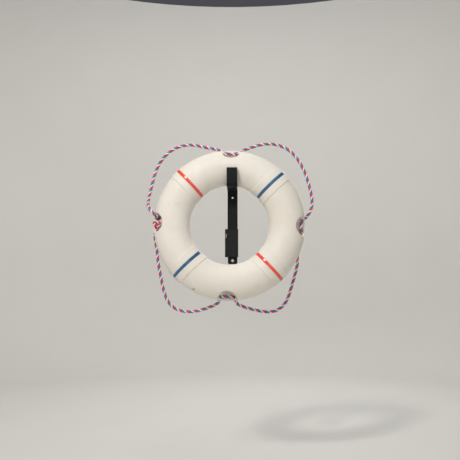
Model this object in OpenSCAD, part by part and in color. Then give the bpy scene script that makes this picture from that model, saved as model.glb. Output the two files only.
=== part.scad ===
// Ring lifebuoy with a three-strand grab rope, hanging on its black wall bracket.
// The wall is the plane y = 0, the front faces -Y and +Z is up. The origin is midway
// between the bracket's two wall holes. All sizes are in millimetres.

/* [Ring] */
// Outer diameter of the ring
ring_d = 508; // [460:1:620]
// Diameter of the hole through the ring
hole_d = 267; // [230:1:300]
// Front to back depth of the tube
tube_depth = 100; // [85:1:125]
// Radius of the tube's inner and outer edges
edge_r = 42; // [30:1:42]
// Wall thickness of the moulded shells
shell_wall = 3; // [2:0.5:5]
// How far the hanging ring has turned clockwise, in degrees
hang_turn = 1.5; // [-5:0.5:5]
// How far the hanging ring sits to the side of the bracket
ring_shift = -10; // [-15:1:15]

/* [Collars and bands] */
// Width of a raised collar along the tube
collar_w = 58; // [40:1:75]
// Height of a collar above the tube
collar_rise = 2; // [1:0.5:4]
// Width of a coloured band
band_w = 10; // [6:1:20]
// Thickness of a coloured band
band_t = 1.6; // [0.8:0.1:2]
// Gap between a band and each side of its groove
band_gap = 0.3; // [0.2:0.1:1]

/* [Rope lugs] */
// Radius of the round notch at each lug
notch_r = 35; // [30:1:40]
// How far the notch's centre lies outside the rim
notch_out = 2; // [0:1:8]
// Thickness of the web that the rope passes through
web_t = 12; // [8:1:12]
// Radius of each slanted rope hole
rope_hole_r = 8.75; // [8:0.25:9.5]
// Distance from a lug's middle to each hole's middle
rope_hole_out = 20.4; // [19:0.1:21]
// Distance from the ring's rim in to the rope holes
rope_hole_in = 14; // [13:0.5:15]
// Slant of the rope holes, in degrees
rope_hole_lean = 24; // [20:1:28]

/* [Grab rope] */
// Diameter of the grab rope
rope_d = 11; // [8:0.5:11]
// Radius of the stopper knot in front of its lug
front_knot_r = 15.5; // [12:0.5:16]
// Radius of the stopper knot behind its lug
back_knot_r = 13; // [10:0.5:14]
// Thickness of the front stopper knot
front_knot_h = 22; // [16:1:24]
// Thickness of the back stopper knot
back_knot_h = 20; // [16:1:24]

/* [Plugs] */
// Radius of the foam filling plug's flange
fill_plug_r = 13; // [10:1:16]
// Radius of the vent plug's flange
vent_plug_r = 8; // [6:1:12]
// Thickness of a plug's flange
plug_flange_t = 1.2; // [0.8:0.1:1.6]

/* [Hook bar] */
// Width of the hook bar
hook_w = 35; // [28:1:45]
// Thickness of the hook bar
hook_t = 5; // [3:0.5:8]
// Height of the shelf pad's top above the origin
seat_z = 137.5; // [137.5:0.1:170]
// Height of the upturned lip above the shelf pad
lip_h = 55; // [40:1:75]
// Gap between the wall and the back of the tube
stand_off = 20; // [18:1:30]
// Gap between the front of the tube and the lip
lip_room = 4; // [3:0.5:10]
// Inside radius of the two bends
bend_r = 5; // [3:0.5:6]
// Depth of the hook bar's foot below the origin
hook_foot = 80; // [70:1:82]
// How far the hook bar can slide up from where it is clamped
travel_up = 20; // [5:1:20]
// How far the hook bar can slide down from where it is clamped
travel_down = 7; // [5:1:7]
// Thickness of the rubber pad on the shelf
shelf_pad_t = 2; // [1:0.5:3]
// Thickness of the rubber pad behind the lip
lip_pad_t = 1.7; // [1:0.1:2.5]
// How much narrower the two pads are than the hook bar
pad_inset = 2; // [1:1:10]
// Gap between the shelf pad and the ring
seat_gap = 0.3; // [0.2:0.1:1]

/* [Base bar and clamp] */
// Distance between the two wall holes
wall_hole_pitch = 220; // [200:1:222]
// Radius of the opening through each wall eyelet
wall_hole_r = 3.25; // [2.5:0.25:3.5]
// Width of the base bar
base_w = 33; // [26:1:34]
// Thickness of the base bar
base_t = 4; // [3:0.5:6]
// Distance from the bottom wall hole to the base bar's lower end
base_end = 12; // [10:1:20]
// Distance from the top wall hole to the base bar's upper end
base_top = 27; // [24:1:30]
// Length of the clamp sleeve
clamp_l = 97; // [90:1:100]
// Depth of the clamp sleeve's lower end below the origin
clamp_foot = 98; // [97:1:100]
// Front wall thickness of the clamp sleeve
clamp_front_t = 3; // [2:0.5:5]
// Right-hand wall thickness of the clamp sleeve
clamp_right_t = 1.8; // [1.5:0.1:4]
// Thickness of the boss on the clamp sleeve's left-hand side
clamp_boss_t = 8.7; // [8:0.1:12]
// Sliding gap around the hook bar
slide_gap = 0.2; // [0.1:0.05:0.5]
// Radius of the thumb wheel
wheel_r = 6.8; // [5.5:0.1:6.9]
// Thickness of the thumb wheel
wheel_t = 4; // [3:0.5:4]
// Depth of the thumb wheel's axle below the origin
wheel_drop = 24; // [15:1:60]

/* [Hidden] */
$fn = 96;

shell_colour = [0.89, 0.86, 0.8];
black = [0.11, 0.12, 0.13];

// Tube section: an oval of four arcs, two crown arcs and two edge arcs.
ring_r = ring_d / 2;
hole_r = hole_d / 2;
tube_w = ring_r - hole_r;
tube_mid_r = (ring_r + hole_r) / 2;
edge_out = tube_w / 2 - edge_r;
half_depth = tube_depth / 2;
crown_r = (edge_out * edge_out + half_depth * half_depth - edge_r * edge_r) / (2 * (half_depth - edge_r));
crown_in = crown_r - half_depth;
// Share of an arc's radius at which crown and edge arcs meet
meet = edge_out / (crown_r - edge_r);

// Places of the ring and its fittings
ring_y = -(stand_off + half_depth);
// The hole's round top rests on the far edge of the flat shelf pad
pad_reach = (hook_w - pad_inset) / 2 + abs(ring_shift);
ring_z = seat_z + seat_gap - sqrt(hole_r * hole_r - pad_reach * pad_reach);
lug_angles = [0, 90, 180, 270];
notch_at = ring_r + notch_out;
rope_hole_at = ring_r - rope_hole_in;
band_angles = [135, 45, 225, 315];
band_sweep = 32;
groove_w = band_w + 2 * band_gap;
foam_gap = 0.2;
fill_plug_angle = 112.5;
vent_plug_angle = 292.5;
plug_gap = 0.1;
plug_stem_in = 3;
plug_sink = plug_flange_t + 0.6;

// Bracket
shelf_top = seat_z - shelf_pad_t;
shelf_under = shelf_top - hook_t;
lip_top = seat_z + lip_h;
hook_back = base_t + slide_gap;
hook_front = hook_back + hook_t;
lip_back = stand_off + tube_depth + lip_room;
lip_front = lip_back + hook_t;
bend_out = bend_r + hook_t;
lip_corner_r = 2.5;
base_corner_r = 6;
eyelet_flange_r = 6;
eyelet_flange_t = 0.8;
eyelet_wall = 1;
slot_side_room = 1.5;
slot_end_room = 0.5;
slot_r = eyelet_flange_r + slot_side_room;
slot_low = wall_hole_pitch / 2 - travel_up - slot_end_room;
slot_high = wall_hole_pitch / 2 + travel_down + slot_end_room;
clamp_top = clamp_l - clamp_foot;
slide_front_gap = 0.3;
clamp_depth = hook_front + slide_front_gap + clamp_front_t;
clamp_left = hook_w / 2 + slide_gap + clamp_boss_t;
clamp_right = hook_w / 2 + slide_gap + clamp_right_t;
wheel_y = -(wheel_r + 0.4);
wheel_off = 4.45;
wheel_x = -(hook_w / 2 + slide_gap + wheel_off);
wheel_room = 0.25;
wheel_end_room = 0.7;
boss_skin = 1.2;
axle_end_room = 0.2;
axle_r = 2;
axle_tip_gap = 0.15;
rivet_r = 2;
rivet_head_r = 4;
rivet_head_t = 1.2;
lip_rivet_drop = 17;
lip_rivet_z = lip_top - lip_rivet_drop;
shelf_rivets = [stand_off + tube_depth / 4, stand_off + 3 * tube_depth / 4];
rivet_tip_in = 0.5;
pad_end_gap = 8;
pin_r = 1.25;
pin_l = 8;
pin_heights = [-20, -80];

// Grab rope, in the ring's own frame: x to the right, y up and z to the front, from the
// ring's centre. It starts in the front knot at the left-hand lug and runs round the ring
// by the bottom, right-hand and top lugs. At each of those it comes up through one hole
// and goes back down through the other.
// Half of such a pass: distance along the rim, distance from the ring's centre, height.
half_pass = [[0, 240, 14.5], [10, 240, 12], [17, 240, 5.5], [21.5, 240, -3], [25.5, 247, -24]];
rope_start = [[-240, -15, 12], [-240, -21.5, -3], [-247, -25.5, -24]];
span_lower_left = [
    [-256, -34.8, -39], [-259, -55, -51], [-253, -89.5, -56], [-243, -132.4, -57], [-233, -176.4, -57],
    [-222, -220.4, -57], [-206, -259.4, -57], [-184, -282.4, -57], [-154, -293.4, -57],
    [-120, -294.4, -57], [-86, -286.7, -54], [-56, -275.4, -49], [-34, -263.4, -41]
];
span_lower_right = [
    [32, -262.4, -41], [58, -274.1, -50], [92, -282.6, -55], [128, -288.4, -57], [160, -285.4, -57],
    [186, -269.4, -57], [203, -244.4, -57], [215, -207.4, -57], [226, -167.4, -57], [235, -127.4, -57],
    [241, -90.5, -56], [246, -57.1, -50], [250, -35.8, -39]
];
span_upper_right = [
    [260, 35, -38], [274, 54.3, -48], [283, 83.3, -54], [280, 120.6, -57], [270, 158.6, -57],
    [256, 198.6, -57], [236, 235.6, -57], [209, 267.6, -57], [175, 287.6, -57], [138, 295.6, -57],
    [102, 291.5, -56], [66, 279, -51], [34, 262.6, -41]
];
span_upper_left = [
    [-33, 260.4, -40], [-56, 270.6, -49], [-90, 277.4, -55], [-124, 284.6, -57], [-156, 285.6, -57],
    [-187, 277.6, -57], [-215, 261.6, -57], [-238, 238.6, -57], [-255, 210.6, -57], [-266, 181.6, -57],
    [-273, 150.4, -55], [-278, 118.3, -48], [-281, 87, -32], [-279, 64, -8], [-270, 48, 14],
    [-258, 34, 24], [-247, 25, 19], [-241, 21, 7], [-240, 20.5, -9]
];
front_knot_at = [-242, -8];
back_knot_at = [-243, 16];
knot_lift = 0.3;
rope_sides = 10;

function along_rim(angle, p) = [
    p[1] * cos(angle) - p[0] * sin(angle),
    p[1] * sin(angle) + p[0] * cos(angle),
    p[2]
];
function pass(angle) = concat(
    [for (i = [len(half_pass) - 1 : -1 : 1])
        along_rim(angle, [-half_pass[i][0], half_pass[i][1], half_pass[i][2]])],
    [for (p = half_pass) along_rim(angle, p)]
);
rope_route = concat(
    rope_start, span_lower_left, pass(270), span_lower_right, pass(0),
    span_upper_right, pass(90), span_upper_left
);

function unit(v) = v / norm(v);
function heading(route, i) =
    unit(route[min(i + 1, len(route) - 1)] - route[max(i - 1, 0)]);
function tube_ring(route, i, r) =
    let (ahead = heading(route, i),
         side = unit(cross(ahead, [route[i][0], route[i][1], 0])),
         out = cross(side, ahead))
    [for (k = [0 : rope_sides - 1])
        let (a = 360 * k / rope_sides)
        route[i] + r * (cos(a) * side + sin(a) * out)];

// A round tube of radius r swept along the points of a route
module swept_tube(route, r) {
    rings = len(route);
    points = [for (i = [0 : rings - 1]) each tube_ring(route, i, r)];
    walls = [for (i = [0 : rings - 2], k = [0 : rope_sides - 1])
        let (a = i * rope_sides + k, b = i * rope_sides + (k + 1) % rope_sides)
        each [[a, b, b + rope_sides], [a, b + rope_sides, a + rope_sides]]];
    start = [for (k = [rope_sides - 1 : -1 : 0]) k];
    finish = [for (k = [0 : rope_sides - 1]) (rings - 1) * rope_sides + k];
    polyhedron(points, concat(walls, [start, finish]));
}

// Moves the ring's own frame to where the ring hangs
module hang_ring() {
    translate([ring_shift, ring_y, ring_z])
        rotate([0, hang_turn, 0])
            rotate([90, 0, 0])
                children();
}

// The tube's oval section, grown or shrunk all round
module tube_section(grow = 0) {
    reach = (crown_r + grow) * meet;
    translate([tube_mid_r, 0]) {
        intersection() {
            translate([0, -crown_in]) circle(crown_r + grow);
            translate([0, crown_in]) circle(crown_r + grow);
            square([2 * reach, 2 * tube_depth], center = true);
        }
        for (side = [-1, 1])
            translate([side * edge_out, 0]) circle(edge_r + grow);
    }
}

// The front or back half of the section
module half_section(front, grow = 0) {
    intersection() {
        tube_section(grow);
        translate([0, front ? 0 : -tube_depth]) square([ring_d, tube_depth]);
    }
}

// A slab across the tube at an angle, from near to far along the rim
module across(angle, near, far) {
    rotate([0, 0, angle])
        translate([0, near, -tube_depth])
            cube([ring_d, far - near, 2 * tube_depth]);
}

module collars(front) {
    for (angle = band_angles, side = [-1, 1])
        intersection() {
            rotate([0, 0, angle - band_sweep / 2])
                rotate_extrude(angle = band_sweep)
                    half_section(front, collar_rise);
            if (side > 0) across(angle, groove_w / 2, collar_w / 2);
            else across(angle, -collar_w / 2, -groove_w / 2);
        }
}

module lug_cylinders(r, from, to) {
    for (angle = lug_angles)
        rotate([0, 0, angle])
            translate([notch_at, 0, from])
                cylinder(r = r, h = to - from);
}

module rope_holes() {
    for (angle = lug_angles, side = [-1, 1])
        rotate([0, 0, angle])
            translate([rope_hole_at, side * rope_hole_out, 0])
                rotate([side * rope_hole_lean, 0, 0])
                    cylinder(r = rope_hole_r, h = 4 * web_t, center = true);
}

// One moulded half of the hollow ring, with its collars, notches and rope holes
module half_shell(front) {
    near = front ? web_t / 2 : -tube_depth;
    far = front ? tube_depth : -web_t / 2;
    difference() {
        union() {
            rotate_extrude() half_section(front);
            collars(front);
        }
        difference() {
            rotate_extrude() half_section(front, -shell_wall);
            lug_cylinders(notch_r + shell_wall, -tube_depth, tube_depth);
        }
        lug_cylinders(notch_r, near, far);
        rope_holes();
    }
}

module front_shell() {
    color(shell_colour) hang_ring() half_shell(true);
}

module plug_seat(angle, flange_r) {
    rotate([0, 0, angle])
        translate([tube_mid_r, 0, -half_depth]) {
            translate([0, 0, -1]) cylinder(r = flange_r + plug_gap, h = 1 + plug_sink);
            translate([0, 0, -1]) cylinder(r = flange_r - plug_stem_in + plug_gap, h = 2 + shell_wall);
        }
}

module back_shell() {
    color(shell_colour)
        hang_ring()
            difference() {
                half_shell(false);
                plug_seat(fill_plug_angle, fill_plug_r);
                plug_seat(vent_plug_angle, vent_plug_r);
            }
}

// Closed-cell foam that fills the shells
module foam_core() {
    color([0.95, 0.9, 0.7])
        hang_ring()
            difference() {
                rotate_extrude() tube_section(-shell_wall - foam_gap);
                lug_cylinders(notch_r + shell_wall + foam_gap, -tube_depth, tube_depth);
            }
}

// A coloured band lying in its groove all round the tube
module band(angle) {
    hang_ring()
        intersection() {
            rotate([0, 0, angle - band_sweep / 2])
                rotate_extrude(angle = band_sweep)
                    difference() {
                        tube_section(band_t);
                        tube_section(0);
                    }
            across(angle, -band_w / 2, band_w / 2);
        }
}

module plug(angle, flange_r) {
    color(shell_colour)
        hang_ring()
            rotate([0, 0, angle])
                translate([tube_mid_r, 0, plug_sink - half_depth]) {
                    translate([0, 0, -plug_flange_t]) cylinder(r = flange_r, h = plug_flange_t);
                    cylinder(r = flange_r - plug_stem_in, h = shell_wall - plug_sink);
                }
}

module filler_plug() { plug(fill_plug_angle, fill_plug_r); }
module vent_plug() { plug(vent_plug_angle, vent_plug_r); }

module grab_rope() {
    color([0.8, 0.25, 0.3]) hang_ring() swept_tube(rope_route, rope_d / 2);
}

// A knot's outer shape: a thick disc with a rounded rim, standing on z = 0
module knot_disc(r, h) {
    round_r = h / 4;
    rotate_extrude() {
        square([r - round_r, h]);
        translate([0, round_r]) square([r, h - 2 * round_r]);
        for (z = [round_r, h - round_r])
            translate([r - round_r, z]) circle(round_r);
    }
}

module start_knot() {
    color([0.8, 0.25, 0.3])
        hang_ring()
            translate([front_knot_at[0], front_knot_at[1], web_t / 2 + knot_lift])
                knot_disc(front_knot_r, front_knot_h);
}

module end_knot() {
    color([0.8, 0.25, 0.3])
        hang_ring()
            translate([back_knot_at[0], back_knot_at[1], -web_t / 2 - knot_lift - back_knot_h])
                knot_disc(back_knot_r, back_knot_h);
}

// A quarter of a flat ring about a centre, in the quarter that the two signs point to
module bend(centre, right, up) {
    translate(centre)
        intersection() {
            difference() {
                circle(bend_out);
                circle(bend_r);
            }
            translate([right > 0 ? 0 : -bend_out, up > 0 ? 0 : -bend_out])
                square(bend_out);
        }
}

// Side view of the hook bar: x is the distance from the wall, y is the height
module hook_side() {
    first = [hook_back + bend_out, shelf_top - bend_out];
    second = [lip_front - bend_out, shelf_under + bend_out];
    translate([hook_back, -hook_foot]) square([hook_t, first[1] + hook_foot]);
    bend(first, -1, 1);
    translate([first[0], shelf_under]) square([second[0] - first[0], hook_t]);
    bend(second, 1, -1);
    translate([lip_back, second[1]]) square([hook_t, lip_top - hook_t / 2 - second[1]]);
    translate([lip_back + hook_t / 2, lip_top - hook_t / 2]) circle(hook_t / 2);
}

// Stands a side view up across the bracket, w wide
module across_bracket(w) {
    rotate([90, 0, -90])
        translate([0, 0, -w / 2])
            linear_extrude(w)
                children();
}

// A strip seen from the front with its top or bottom corners rounded, cut through in Y
module corner_cut(w, end_z, up, r) {
    for (side = [-1, 1])
        difference() {
            translate([side * w / 2 - r, 1, end_z - r]) rotate([90, 0, 0]) cube([2 * r, 2 * r, 400]);
            translate([side * (w / 2 - r), 2, end_z - up * r])
                rotate([90, 0, 0]) cylinder(r = r, h = 402);
            translate([side > 0 ? -w : r - w / 2, -401, end_z - r]) cube([1.5 * w - r, 403, 2 * r]);
            translate([-w, -401, up > 0 ? end_z - 3 * r : end_z + r]) cube([2 * w, 403, 2 * r]);
        }
}

// Slot in the hook bar that clears the upper wall eyelet as the bar slides
module hook_slot() {
    for (z = [slot_low, slot_high])
        translate([0, 0, z]) rotate([90, 0, 0]) cylinder(r = slot_r, h = hook_front + 1);
    translate([-slot_r, -hook_front - 1, slot_low])
        cube([2 * slot_r, hook_front + 1, slot_high - slot_low]);
}

// Holes for the rivets that hold the two pads
module rivet_shafts(r) {
    translate([0, -lip_back + lip_pad_t, lip_rivet_z])
        rotate([90, 0, 0])
            cylinder(r = r, h = hook_t + lip_pad_t);
    for (y = shelf_rivets)
        translate([0, -y, shelf_under]) cylinder(r = r, h = hook_t + shelf_pad_t - rivet_tip_in);
}

module hook_bar() {
    color(black)
        difference() {
            across_bracket(hook_w) hook_side();
            corner_cut(hook_w, lip_top, 1, lip_corner_r);
            hook_slot();
            rivet_shafts(rivet_r);
        }
}

module shelf_pad() {
    color([0.05, 0.05, 0.05])
        difference() {
            translate([(pad_inset - hook_w) / 2, -lip_back + pad_end_gap, shelf_top])
                cube([hook_w - pad_inset, lip_back - stand_off - pad_end_gap, shelf_pad_t]);
            rivet_shafts(rivet_r);
        }
}

module lip_pad() {
    color([0.05, 0.05, 0.05])
        difference() {
            translate([(pad_inset - hook_w) / 2, -lip_back, seat_z + bend_out])
                cube([hook_w - pad_inset, lip_pad_t, lip_h - bend_out - pad_end_gap]);
            rivet_shafts(rivet_r);
        }
}

module pad_rivets() {
    color(black) {
        rivet_shafts(rivet_r);
        translate([0, -lip_front, lip_rivet_z])
            rotate([90, 0, 0])
                cylinder(r = rivet_head_r, h = rivet_head_t);
        for (y = shelf_rivets)
            translate([0, -y, shelf_under - rivet_head_t])
                cylinder(r = rivet_head_r, h = rivet_head_t);
    }
}

module wall_holes(r, from, to) {
    for (side = [-1, 1])
        translate([0, -from, side * wall_hole_pitch / 2])
            rotate([90, 0, 0])
                cylinder(r = r, h = to - from);
}

module pin_holes() {
    for (z = pin_heights)
        translate([clamp_right - pin_l, -base_t / 2, z])
            rotate([0, 90, 0])
                cylinder(r = pin_r, h = pin_l);
}

// Flat bar that is screwed to the wall behind the hook bar
module base_bar() {
    low = -wall_hole_pitch / 2 - base_end;
    color(black)
        difference() {
            translate([-base_w / 2, -base_t, low])
                cube([base_w, base_t, base_end + wall_hole_pitch + base_top]);
            corner_cut(base_w, low, -1, base_corner_r);
            wall_holes(wall_hole_r + eyelet_wall, -1, base_t + 1);
            pin_holes();
        }
}

// Steel eyelets pressed into the base bar's two wall holes
module wall_eyelets() {
    color("silver")
        difference() {
            union() {
                wall_holes(wall_hole_r + eyelet_wall, 0, base_t);
                wall_holes(eyelet_flange_r, base_t, base_t + eyelet_flange_t);
            }
            wall_holes(wall_hole_r, -1, base_t + 2);
        }
}

// Section of the clamp sleeve seen from above, with its front edges rounded
module clamp_outline() {
    left_r = 4.5;
    right_r = 1.5;
    translate([-clamp_left, left_r - clamp_depth]) square([left_r, clamp_depth - left_r]);
    translate([left_r - clamp_left, -clamp_depth])
        square([clamp_left + clamp_right - left_r - right_r, clamp_depth]);
    translate([clamp_right - right_r, right_r - clamp_depth])
        square([right_r, clamp_depth - right_r]);
    translate([left_r - clamp_left, left_r - clamp_depth]) circle(left_r);
    translate([clamp_right - right_r, right_r - clamp_depth]) circle(right_r);
}

// Sleeve that the hook bar slides in, pinned to the base bar
module clamp_sleeve() {
    color(black)
        difference() {
            translate([0, 0, -clamp_foot]) linear_extrude(clamp_l) clamp_outline();
            translate([-base_w / 2, -base_t, -clamp_foot - 1])
                cube([base_w, base_t + 1, clamp_l + 2]);
            translate([-hook_w / 2 - slide_gap, -hook_front - slide_front_gap, -clamp_foot - 1])
                cube([hook_w + 2 * slide_gap, hook_t + slide_gap + slide_front_gap, clamp_l + 2]);
            translate([wheel_x - wheel_t / 2 - wheel_room, -clamp_depth - 1, -wheel_drop - wheel_r - wheel_end_room])
                cube([wheel_t + 2 * wheel_room, clamp_depth + 2, 2 * (wheel_r + wheel_end_room)]);
            translate([-clamp_left + boss_skin, wheel_y, -wheel_drop])
                rotate([0, 90, 0])
                    cylinder(r = axle_r + 0.05, h = clamp_boss_t);
            pin_holes();
        }
}

module sleeve_pins() {
    color("silver") pin_holes();
}

// Knurled wheel whose axle clamps the hook bar's edge
module thumb_wheel() {
    color("silver")
        translate([wheel_x - wheel_t / 2, wheel_y, -wheel_drop])
            rotate([0, 90, 0])
                difference() {
                    cylinder(r = wheel_r, h = wheel_t);
                    translate([0, 0, -1]) cylinder(r = axle_r, h = wheel_t + 2);
                }
}

module wheel_axle() {
    left = -clamp_left + boss_skin + axle_end_room;
    right = -hook_w / 2 - axle_tip_gap;
    color("silver")
        translate([left, wheel_y, -wheel_drop])
            rotate([0, 90, 0])
                cylinder(r = axle_r, h = right - left);
}

front_shell();
back_shell();
foam_core();
color([0.85, 0.12, 0.08]) band(band_angles[0]);  // band_upper_left
color([0.08, 0.25, 0.55]) band(band_angles[1]);  // band_upper_right
color([0.08, 0.25, 0.55]) band(band_angles[2]);  // band_lower_left
color([0.85, 0.12, 0.08]) band(band_angles[3]);  // band_lower_right
filler_plug();
vent_plug();
grab_rope();
start_knot();
end_knot();
hook_bar();
shelf_pad();
lip_pad();
pad_rivets();
base_bar();
wall_eyelets();
clamp_sleeve();
sleeve_pins();
thumb_wheel();
wheel_axle();
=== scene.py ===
# Looks of the ring lifebuoy and its black wall bracket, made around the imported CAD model.
# Lengths are in metres, in the CAD's own frame: the wall is y = 0, the front faces -Y and +Z is up.
import math

import bmesh
import bpy
import numpy as np
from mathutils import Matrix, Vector


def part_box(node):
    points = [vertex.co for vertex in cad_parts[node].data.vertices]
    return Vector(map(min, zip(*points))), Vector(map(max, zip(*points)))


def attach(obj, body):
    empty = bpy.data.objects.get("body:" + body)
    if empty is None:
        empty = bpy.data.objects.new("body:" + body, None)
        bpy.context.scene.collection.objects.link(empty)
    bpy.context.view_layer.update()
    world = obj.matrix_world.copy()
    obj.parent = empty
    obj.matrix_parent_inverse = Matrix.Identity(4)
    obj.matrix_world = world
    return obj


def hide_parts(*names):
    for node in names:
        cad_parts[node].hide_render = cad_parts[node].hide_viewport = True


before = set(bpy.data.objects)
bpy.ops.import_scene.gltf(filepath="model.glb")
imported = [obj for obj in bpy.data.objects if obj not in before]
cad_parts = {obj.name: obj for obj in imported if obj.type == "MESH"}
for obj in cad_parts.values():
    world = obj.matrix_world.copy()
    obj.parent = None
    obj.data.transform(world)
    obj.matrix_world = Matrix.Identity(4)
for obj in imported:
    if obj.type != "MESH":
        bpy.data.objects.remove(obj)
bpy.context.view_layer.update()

MM = 0.001

# ---------------------------------------------------------------- the ring's sizes and place

shell_low, shell_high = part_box("front_shell")
RING_CENTRE = np.array([(shell_low.x + shell_high.x) / 2, shell_high.y, (shell_low.z + shell_high.z) / 2])
RING_R = (shell_high.x - shell_low.x) / 2
HANG_TURN = math.radians(1.5)
HOLE_R = 133.5 * MM
HALF_DEPTH = 50 * MM
EDGE_R = 42 * MM
TUBE_MID_R = (RING_R + HOLE_R) / 2
EDGE_OUT = (RING_R - HOLE_R) / 2 - EDGE_R
CROWN_R = (EDGE_OUT**2 + HALF_DEPTH**2 - EDGE_R**2) / (2 * (HALF_DEPTH - EDGE_R))
CROWN_IN = CROWN_R - HALF_DEPTH
BAND_W = 10 * MM
BAND_T = 1.6 * MM
BAND_END_R = 0.45 * MM
BAND_CROWN = 0.25 * MM
BAND_ANGLES = {"upper_left": 135, "upper_right": 45, "lower_left": 225, "lower_right": 315}


def hang(points):
    """The ring's own frame (x right, y up, z front) carried to where the ring hangs.

    The points turn clockwise by the hanging turn, z becomes -Y, and the ring's centre is added.
    """
    x, y, z = np.moveaxis(np.asarray(points, float), -1, 0)
    c, s = math.cos(HANG_TURN), math.sin(HANG_TURN)
    return np.stack([x * c + y * s, -z, y * c - x * s], -1) + RING_CENTRE


def tube_section(turn, grow=0.0):
    """The tube's oval, as the point whose outward normal leans by the angle turn from the rim.

    Edge arcs serve the two rims and crown arcs the front and back, each radius being larger by grow.
    """
    out, up = np.cos(turn), np.sin(turn)
    on_crown = np.abs(up) > CROWN_IN / (CROWN_R - EDGE_R)
    radius = np.where(on_crown, CROWN_R, EDGE_R) + grow
    across = np.where(on_crown, 0.0, np.sign(out) * EDGE_OUT) + radius * out
    return TUBE_MID_R + across, np.where(on_crown, -np.sign(up) * CROWN_IN, 0.0) + radius * up


# ---------------------------------------------------------------- arrays into meshes


def unit(vectors):
    """Each vector divided by its own length."""
    return vectors / np.linalg.norm(vectors, axis=-1, keepdims=True)


def grid_faces(rows, columns, close_rows, close_columns):
    """The quads of a grid stored row by row, and each corner's share of the way round and along."""
    i, j = np.meshgrid(
        np.arange(rows if close_rows else rows - 1),
        np.arange(columns if close_columns else columns - 1),
        indexing="ij",
    )
    corners = [(i, j), (i, j + 1), (i + 1, j + 1), (i + 1, j)]
    quads = np.stack([(a % rows) * columns + b % columns for a, b in corners], -1)
    shares = np.stack([np.stack([b / columns, a / rows], -1) for a, b in corners], -2)
    return quads.reshape(-1, 4), shares.reshape(-1, 4, 2)


class Surface:
    """A mesh that grids of points are added to, and that is closed and turned outwards at the end."""

    def __init__(self):
        self.points, self.quads, self.uvs, self.finishes = [], [], [], []
        self.count = 0

    def add(self, grid, close_rows=False, close_columns=False, finish=0, size=(1.0, 1.0)):
        """Adds one grid, rows x columns x 3. size is what its UV map spans round and along."""
        rows, columns = grid.shape[:2]
        quads, shares = grid_faces(rows, columns, close_rows, close_columns)
        self.points.append(grid.reshape(-1, 3))
        self.quads.append(quads + self.count)
        self.uvs.append(shares * np.array(size))
        self.finishes.append(np.full(len(quads), finish))
        self.count += rows * columns

    def mesh(self, name, finishes):
        """The mesh, with points that lie on each other merged and all faces pointing outwards."""
        mesh = bpy.data.meshes.new(name)
        points, quads = np.concatenate(self.points), np.concatenate(self.quads)
        mesh.vertices.add(len(points))
        mesh.vertices.foreach_set("co", points.astype(np.float32).ravel())
        mesh.loops.add(quads.size)
        mesh.loops.foreach_set("vertex_index", quads.astype(np.int32).ravel())
        mesh.polygons.add(len(quads))
        mesh.polygons.foreach_set("loop_start", np.arange(0, quads.size, 4, dtype=np.int32))
        mesh.polygons.foreach_set("material_index", np.concatenate(self.finishes).astype(np.int32))
        mesh.update(calc_edges=True)
        mesh.uv_layers.new(name="lay").data.foreach_set(
            "uv", np.concatenate(self.uvs).astype(np.float32).ravel()
        )
        shape = bmesh.new()
        shape.from_mesh(mesh)
        bmesh.ops.remove_doubles(shape, verts=shape.verts, dist=0.001 * MM)
        bmesh.ops.recalc_face_normals(shape, faces=shape.faces)
        shape.to_mesh(mesh)
        shape.free()
        mesh.shade_smooth()
        for finish in finishes:
            mesh.materials.append(finish)
        return mesh


def with_ends(grid):
    """A grid of rings with a last ring shrunk to a point at either end, which closes the tube."""
    first = np.broadcast_to(grid[:1].mean(axis=1, keepdims=True), grid[:1].shape)
    last = np.broadcast_to(grid[-1:].mean(axis=1, keepdims=True), grid[-1:].shape)
    return np.concatenate([first, grid, last])


def add_piece(name, mesh, body, slot, *nodes):
    """An object for the mesh that rides on a body and stands for CAD nodes, which it hides; the slot is
    not used.
    """
    piece = bpy.data.objects.new(name, mesh)
    bpy.context.scene.collection.objects.link(piece)
    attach(piece, body)
    if nodes:
        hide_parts(*nodes)
    return piece


# ---------------------------------------------------------------- finishes


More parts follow.
